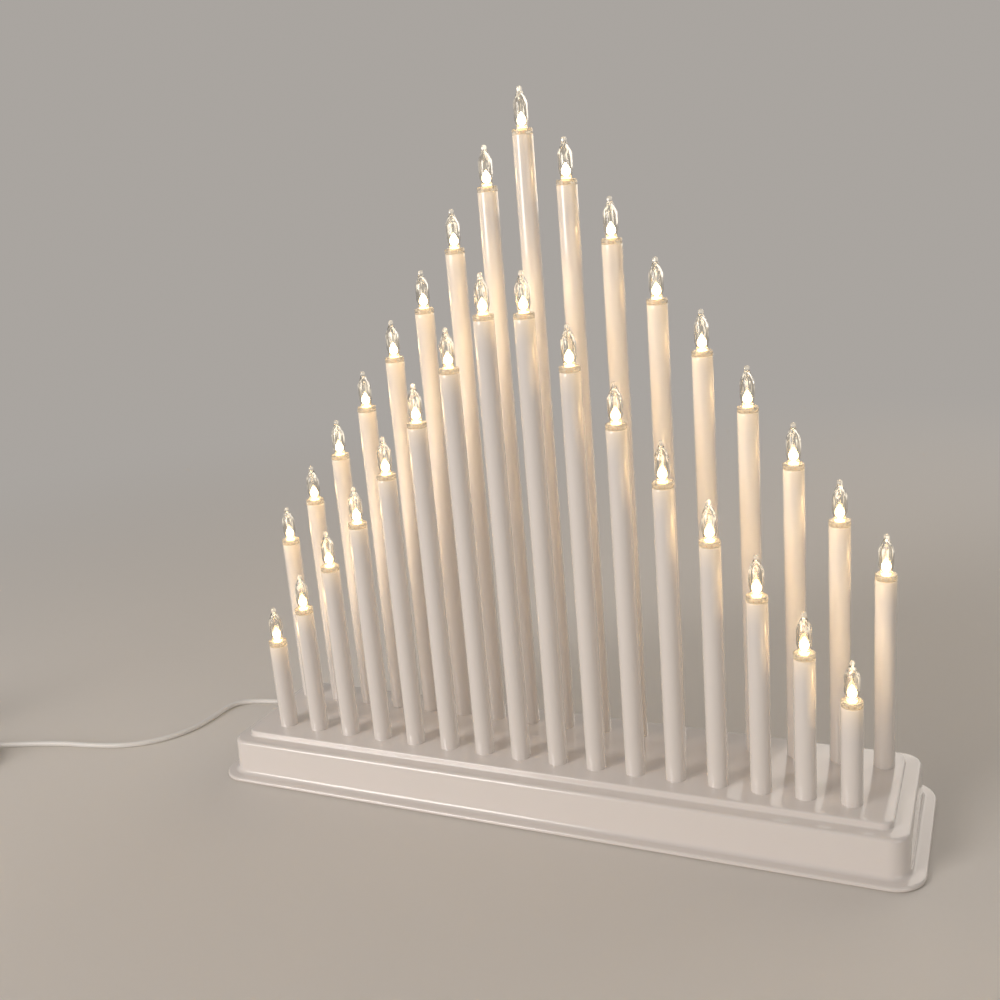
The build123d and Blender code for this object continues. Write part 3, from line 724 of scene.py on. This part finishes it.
lens_clear = bpy.data.materials.new("lens_clear")
lens_clear.use_nodes = True
tree = lens_clear.node_tree
lens_paint = tree.nodes["Principled BSDF"]
set_values(lens_paint, {"Transmission Weight": 1.0, "IOR": 1.46, "Emission Strength": 0.7})
where = tree.nodes.new("ShaderNodeTexCoord")
ripple = tree.nodes.new("ShaderNodeTexNoise")
set_values(ripple, {"Scale": RIPPLE_SCALE, "Detail": 1.0})
ripple_bump = tree.nodes.new("ShaderNodeBump")
set_values(ripple_bump, {"Strength": 1.0, "Distance": RIPPLE_HEIGHT})
haze = tree.nodes.new("ShaderNodeMapRange")
set_values(haze, {"To Min": HAZE_LOW, "To Max": HAZE_HIGH})
tree.links.new(where.outputs["Object"], ripple.inputs["Vector"])
tree.links.new(ripple.outputs["Fac"], ripple_bump.inputs["Height"])
tree.links.new(ripple.outputs["Fac"], haze.inputs["Value"])
tree.links.new(ripple_bump.outputs["Normal"], lens_paint.inputs["Normal"])
tree.links.new(haze.outputs["Result"], lens_paint.inputs["Roughness"])
lens_tone = mixed(tree, ripple.outputs["Fac"], LENS_CLEAR, LENS_SMOKE)
# Painted shade: the glass's colour darkens towards its outline, by the surface's facing.
lens_edge = tree.nodes.new("ShaderNodeLayerWeight")
lens_edge.inputs["Blend"].default_value = LENS_EDGE_BLEND
lens_outline_shade = mixed(tree, lens_edge.outputs["Facing"], LENS_CLEAR, LENS_OUTLINE_SHADE)
tree.links.new(lens_tone.outputs["Result"], lens_outline_shade.inputs["A"])
tree.links.new(lens_outline_shade.outputs["Result"], lens_paint.inputs["Base Color"])

# Painted glow: warm light of the glass's own, in upright noise streaks and evenly on the bead.
lens_mask = glow_mask(tree)
drawn = tree.nodes.new("ShaderNodeMapping")
drawn.inputs["Scale"].default_value = STREAK_STRETCH
painted_streaks = tree.nodes.new("ShaderNodeTexNoise")
set_values(painted_streaks, {"Scale": STREAK_SCALE, "Detail": 1.0})
streak_mask = tree.nodes.new("ShaderNodeMapRange")
streak_mask.interpolation_type = "SMOOTHSTEP"
set_values(streak_mask, {"From Min": STREAK_LOW, "From Max": STREAK_HIGH})
tree.links.new(where.outputs["Object"], drawn.inputs["Vector"])
tree.links.new(drawn.outputs["Vector"], painted_streaks.inputs["Vector"])
tree.links.new(painted_streaks.outputs["Fac"], streak_mask.inputs["Value"])
painted_streak_glow = reckon(tree, "MULTIPLY", lens_mask, streak_mask.outputs["Result"])
painted_bead_glow = reckon(tree, "SUBTRACT", lens_mask, 1.0)
shine(tree, reckon(tree, "MAXIMUM", painted_streak_glow, painted_bead_glow), LENS_PAINTED_GLOW)

shadow_ray = tree.nodes.new("ShaderNodeLightPath")
let_through = tree.nodes.new("ShaderNodeBsdfTransparent")
either = tree.nodes.new("ShaderNodeMixShader")
tree.links.new(shadow_ray.outputs["Is Shadow Ray"], either.inputs["Fac"])
tree.links.new(lens_paint.outputs["BSDF"], either.inputs[1])
tree.links.new(let_through.outputs["BSDF"], either.inputs[2])
tree.links.new(either.outputs["Shader"], tree.nodes["Material Output"].inputs["Surface"])

light_warm = bpy.data.materials.new("light_warm")
light_warm.use_nodes = True
tree = light_warm.node_tree
set_values(tree.nodes["Principled BSDF"], {
    "Base Color": LIGHT_BODY, "Roughness": 0.5, "Emission Strength": 55.0})
shine(tree, glow_mask(tree), LIGHT_BRIGHT, LIGHT_DIM)

prong_cream = moulded(
    "prong_cream", (0.86, 0.80, 0.68, 1), gloss=(0.35, 0.5), tone=0.1, wave=(400.0, 0.00001))
contact_copper = moulded(
    "contact_copper", (0.72, 0.42, 0.26, 1), gloss=(0.2, 0.4), tone=0.2, wave=(900.0, 0.000005),
    own={"Metallic": 1.0})

lens.data.materials.append(lens_clear)
hollow.data.materials.append(lens_clear)
light.data.materials.append(light_warm)
prong.data.materials.append(prong_cream)
for contact in contacts:
    contact.data.materials.append(contact_copper)
lamp_model = join_pieces([lens, hollow, light, prong, *contacts], "lamp_model")
for lamp_node, seat in lamp_seats.items():
    lit_lamp = shift_copy(lamp_model, seat, lamp_node.replace("lamp", "flame"))
    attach(lit_lamp, lamp_node)
    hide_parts(lamp_node)
bpy.data.objects.remove(lamp_model)

# ---------------------------------------------------------------- the wires inside
# Thin white wires run between the plate's rails and up each tube, and a white nylon block
# joins them to the lead. They are only seen with the plate off.
wire_white = moulded(
    "wire_white", (0.78, 0.74, 0.66, 1), gloss=(0.38, 0.52), tone=0.12, wave=(500.0, 0.00002))
block_nylon = moulded(
    "block_nylon", (0.76, 0.75, 0.70, 1), gloss=(0.45, 0.60), tone=0.08, wave=(160.0, 0.00002))
for inner_name, inner_paint in (("wiring", wire_white), ("joining_block", block_nylon)):
    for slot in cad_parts[inner_name].material_slots:
        slot.material = inner_paint

# ---------------------------------------------------------------- the strain relief
# A soft white bush snapped into the base's back wall, with a lip outside and a ribbed nose
# that keeps the lead from kinking where it comes out.
RELIEF_PLACE = Vector((-0.13393, 0, 0.0090))
RELIEF_SIDES = 28
RELIEF_RINGS = (
    (0.0330, 0.0016), (0.0377, 0.0016), (0.0377, 0.0035), (0.0388, 0.0035), (0.0388, 0.0026),
    (0.0414, 0.0026), (0.0415, 0.0034), (0.0418, 0.0036), (0.0424, 0.0036), (0.0427, 0.0033),
    (0.0427, 0.0027), (0.0433, 0.0025), (0.0438, 0.00255), (0.0443, 0.0025), (0.0444, 0.0021),
    (0.0450, 0.0021), (0.0451, 0.0024), (0.0458, 0.0024), (0.0459, 0.0020), (0.0465, 0.0020),
    (0.0466, 0.0023), (0.0473, 0.0023), (0.0474, 0.0019), (0.0480, 0.0019), (0.0481, 0.0021),
    (0.0493, 0.0020), (0.0495, 0.0018))

relief = begin_piece("relief_bush")
ring_stack(RELIEF_RINGS, RELIEF_SIDES)
close_piece(relief, smooth=40)
relief.data.transform(Matrix.Translation(RELIEF_PLACE) @ Matrix.Rotation(-math.pi / 2, 4, "X"))
lead_white = moulded(
    "lead_white", (0.84, 0.82, 0.79, 1), gloss=(0.30, 0.44), tone=0.06,
    wave=(240.0, 0.00003), grain=(2600.0, 0.000008),
    own={"Subsurface Weight": 0.1, "Subsurface Radius": (0.001, 0.0009, 0.0008)})
relief.data.materials.append(lead_white)
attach(relief, "arch")
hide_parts("strain_relief")

# ---------------------------------------------------------------- the lead and its coil
# A thin white lead, sheathed in soft plastic. It leaves a bush in the back wall, droops to
# the floor and runs off to the left, where the rest of it is wound up beside its adaptor.
LEAD_THICK = 0.0032
LEAD_ROUTE = (
    (-0.1339, 0.0495, 0.0090),
    (-0.1339, 0.0550, 0.0090),
    (-0.1364, 0.0604, 0.0079),
    (-0.1414, 0.0638, 0.0062),
    (-0.1486, 0.0643, 0.0042),
    (-0.1584, 0.0628, 0.0025),
    (-0.1710, 0.0582, 0.0017),
    (-0.1875, 0.0506, 0.0016),
    (-0.2045, 0.0456, 0.0016),
    (-0.2225, 0.0424, 0.0016),
    (-0.2340, 0.0386, 0.0016),
    (-0.2398, 0.0294, 0.0016),
    (-0.2394, 0.0160, 0.0016),
    (-0.2416, -0.0025, 0.0016),
    (-0.2505, -0.0190, 0.0016),
    (-0.2665, -0.0315, 0.0016),
    (-0.2880, -0.0380, 0.0017),
    (-0.3160, -0.0435, 0.0027),
)
COIL_MIDDLE = (-0.3614, -0.0883)
COIL_RADIUS = 0.0266
COIL_STEP = 0.0043
COIL_LAYERS, COIL_HALF_TURNS = 2, 7
COIL_HEIGHT = 0.0027
COIL_HEADING = math.radians(200)
COIL_TAIL = 0.032
COIL_END_INSIDE = 0.0135
COIL_POINTS = 7
COIL_SWELL = 1 / math.cos(math.pi / COIL_POINTS / 2)
LEAD_ROUNDNESS = 5

heading = Vector((math.cos(COIL_HEADING), math.sin(COIL_HEADING), 0))
outward = Vector((heading.y, -heading.x, 0))
coil_marks = []
for layer in range(COIL_LAYERS):
    for step in range(COIL_HALF_TURNS + 1):
        inwards = step if layer == 0 else COIL_HALF_TURNS - step
        coil_marks.append(
            (COIL_RADIUS - inwards * COIL_STEP / 2, COIL_HEIGHT + layer * COIL_STEP))
coil_marks.pop()
coil_points = []
for i in range((len(coil_marks) - 1) * COIL_POINTS):
    share = (i + 0.5) / COIL_POINTS
    mark = int(share)
    near, far = coil_marks[mark], coil_marks[mark + 1]
    radius = near[0] + (far[0] - near[0]) * (share - mark)
    height = near[1] + (far[1] - near[1]) * (share - mark)
    spoke = outward * math.cos(share * math.pi) + heading * math.sin(share * math.pi)
    coil_points.append(Vector((*COIL_MIDDLE, height)) + spoke * radius * COIL_SWELL)
before_coil = coil_points[0] - heading * (coil_points[1] - coil_points[0]).length
after_coil = coil_points[-1] + heading * (coil_points[-1] - coil_points[-2]).length
last_radius, after_coil.z = coil_marks[-1]
tail_end = Vector((*COIL_MIDDLE, coil_marks[-1][1])) + outward * last_radius + heading * COIL_TAIL
lead_all = [
    *LEAD_ROUTE, before_coil, *coil_points, after_coil, tail_end + heading * COIL_END_INSIDE]

lead_curve = bpy.data.curves.new("lead_cord", "CURVE")
lead_curve.dimensions = "3D"
lead_curve.bevel_depth = LEAD_THICK / 2
lead_curve.bevel_resolution = LEAD_ROUNDNESS
lead_curve.resolution_u = LEAD_ROUNDNESS
lead_curve.use_fill_caps = True
lead_line = lead_curve.splines.new("NURBS")
lead_line.points.add(len(lead_all) - 1)
for point, where in zip(lead_line.points, lead_all):
    point.co = (*where, 1)
lead_line.order_u = 3
lead_line.use_endpoint_u = True
lead_cord = bpy.data.objects.new("lead_cord", lead_curve)
bpy.context.scene.collection.objects.link(lead_cord)
lead_curve.materials.append(lead_white)
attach(lead_cord, "arch")
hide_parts("lead", "lead_coil")

# ---------------------------------------------------------------- the coil's tie
# A flat band of soft grey plastic, bent round the coil's bundle so that its turns stay
# together. It is thin, and rounded along its edges.
TIE_WIDE, TIE_HIGH, TIE_THICK, TIE_REACH = 0.0183, 0.0097, 0.0007, 0.0050
TIE_CORNER, TIE_EASE, TIE_EDGE = 0.0025, 0.00012, 0.9
TIE_BUNDLE = (0.02445 + 0.01155) / 2
TIE_MIDDLE = 0.00485

tie_place = Vector((*COIL_MIDDLE, TIE_MIDDLE)) - outward * TIE_BUNDLE
tie_frame = Matrix((
    (-outward.x, 0, heading.x, tie_place.x),
    (-outward.y, 0, heading.y, tie_place.y),
    (0, 1, 0, tie_place.z),
    (0, 0, 0, 1),
))
tie = begin_piece("tie_band")
tie_stations = [
    (inset, reach * TIE_REACH / 2, TIE_CORNER - inset)
    for inset, reach in (
        (0.0, TIE_EDGE), (TIE_EASE, 1.0), (TIE_THICK - TIE_EASE, 1.0), (TIE_THICK, TIE_EDGE),
        (TIE_THICK, -TIE_EDGE), (TIE_THICK - TIE_EASE, -1.0), (TIE_EASE, -1.0),
        (0.0, -TIE_EDGE), (0.0, TIE_EDGE))]
add_outline(TIE_WIDE, TIE_HIGH, tie_stations[0])
draw_outline(tie, TIE_WIDE, TIE_HIGH, tie_stations)
select_by(tie, is_cap)
bpy.ops.mesh.delete(type="ONLY_FACE")
close_piece(tie, smooth=40)
tie.data.transform(tie_frame)
tie_grey = moulded(
    "tie_grey", (0.20, 0.20, 0.20, 1), gloss=(0.40, 0.55), tone=0.10,
    wave=(350.0, 0.00003), grain=(3000.0, 0.00001))
tie.data.materials.append(tie_grey)
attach(tie, "arch")
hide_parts("coil_tie")

# ---------------------------------------------------------------- the adaptor
# A white moulded adaptor of two halves, closed along a seam, with a ribbed sleeve for the
# lead at one end and two round pins, sleeved near the case, on the face towards the wall.
ADAPTOR_LONG, ADAPTOR_DEEP, ADAPTOR_HIGH = 0.0600, 0.0380, 0.0300
CASE_CORNER, CASE_CORNER_DRAW, CASE_ROUND = 0.0045, 0.9, 0.0028
SEAM_AT, SEAM_WIDE, SEAM_DEEP = 0.0150, 0.0006, 0.0005
SLEEVE_LONG, SLEEVE_SIDES = 0.0120, 28
SLEEVE_RINGS = (
    (0.0, 0.0019), (0.0002, 0.0022), (0.0014, 0.00235), (0.0015, 0.0020), (0.0023, 0.0020),
    (0.0024, 0.0024), (0.0036, 0.0025), (0.0037, 0.0021), (0.0045, 0.0021), (0.0046, 0.0026),
    (0.0058, 0.0027), (0.0059, 0.0023), (0.0067, 0.0023), (0.0068, 0.0028), (0.0080, 0.0029),
    (0.0081, 0.0025), (0.0089, 0.0025), (0.0090, 0.0030), (0.0118, 0.0032), (0.0123, 0.0032))
PIN_SPREAD, PIN_INSET, PIN_SIDES = 0.0190, 0.0160, 24
PIN_SLEEVE_RINGS = (
    (-0.0003, 0.0030), (0.0004, 0.0030), (0.0007, 0.0026), (0.0007, 0.00190), (0.0100, 0.00185))
PIN_RINGS = (
    (0.0095, 0.0016), (0.0100, 0.00196), (0.0178, 0.00196), (0.0185, 0.0017), (0.0189, 0.0012),
    (0.0190, 0.0006))

sideways = Vector((-heading.y, heading.x, 0))
adaptor_frame = Matrix((
    (heading.x, sideways.x, 0, tail_end.x),
    (heading.y, sideways.y, 0, tail_end.y),
    (0, 0, 1, tail_end.z),
    (0, 0, 0, 1),
))
along = Matrix(((0, 0, 1, 0), (1, 0, 0, 0), (0, 1, 0, 0), (0, 0, 0, 1)))
case_middle = ADAPTOR_HIGH / 2 - tail_end.z

sleeve = begin_piece("adaptor_boot")
ring_stack(SLEEVE_RINGS, SLEEVE_SIDES)
close_piece(sleeve, smooth=40)
sleeve.data.transform(adaptor_frame @ along)
sleeve.data.materials.append(lead_white)
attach(sleeve, "arch")
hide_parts("adaptor_sleeve")

case = begin_piece("adaptor_shell")
case_turns = [math.pi / 2 * step / ROUND_STEPS for step in range(ROUND_STEPS + 1)]
case_reaches = [
    *((CASE_ROUND * (1 - math.sin(turn)), CASE_ROUND * (1 - math.cos(turn)))
      for turn in case_turns),
    (0.0, SEAM_AT), (SEAM_DEEP, SEAM_AT),
    (SEAM_DEEP, SEAM_AT + SEAM_WIDE), (0.0, SEAM_AT + SEAM_WIDE),
    *((CASE_ROUND * (1 - math.cos(turn)), ADAPTOR_LONG - CASE_ROUND * (1 - math.sin(turn)))
      for turn in case_turns),
]
case_stations = [
    (inset, SLEEVE_LONG + reach, CASE_CORNER - inset * CASE_CORNER_DRAW)
    for inset, reach in case_reaches]
add_outline(ADAPTOR_DEEP, ADAPTOR_HIGH, case_stations[0])
draw_outline(case, ADAPTOR_DEEP, ADAPTOR_HIGH, case_stations)
close_piece(case, smooth=40)
case.data.transform(adaptor_frame @ Matrix.Translation((0, 0, case_middle)) @ along)
case_white = moulded(
    "case_white", (0.80, 0.79, 0.77, 1), gloss=(0.38, 0.52), tone=0.06,
    wave=(60.0, 0.00004), grain=(1800.0, 0.00003))
case.data.materials.append(case_white)
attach(case, "arch")
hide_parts("adaptor_case")

pin_nickel = moulded(
    "pin_nickel", (0.70, 0.68, 0.64, 1), gloss=(0.18, 0.34), tone=0.15,
    wave=(500.0, 0.000006), grain=(3500.0, 0.000004), own={"Metallic": 1.0})
pin_pieces = []
for side in (-1, 1):
    pin_place = Vector((
        SLEEVE_LONG + ADAPTOR_LONG - PIN_INSET, -ADAPTOR_DEEP / 2,
        case_middle + side * PIN_SPREAD / 2))
    pin_frame = (
        adaptor_frame @ Matrix.Translation(pin_place) @ Matrix.Rotation(math.pi / 2, 4, "X"))
    for rings, pin_paint in ((PIN_SLEEVE_RINGS, case_white), (PIN_RINGS, pin_nickel)):
        pin = begin_piece("pin_piece")
        ring_stack(rings, PIN_SIDES)
        close_piece(pin, smooth=40)
        pin.data.transform(pin_frame)
        pin.data.materials.append(pin_paint)
        pin_pieces.append(pin)
pins = join_pieces(pin_pieces, "plug_pins")
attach(pins, "arch")
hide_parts("adaptor_pins")
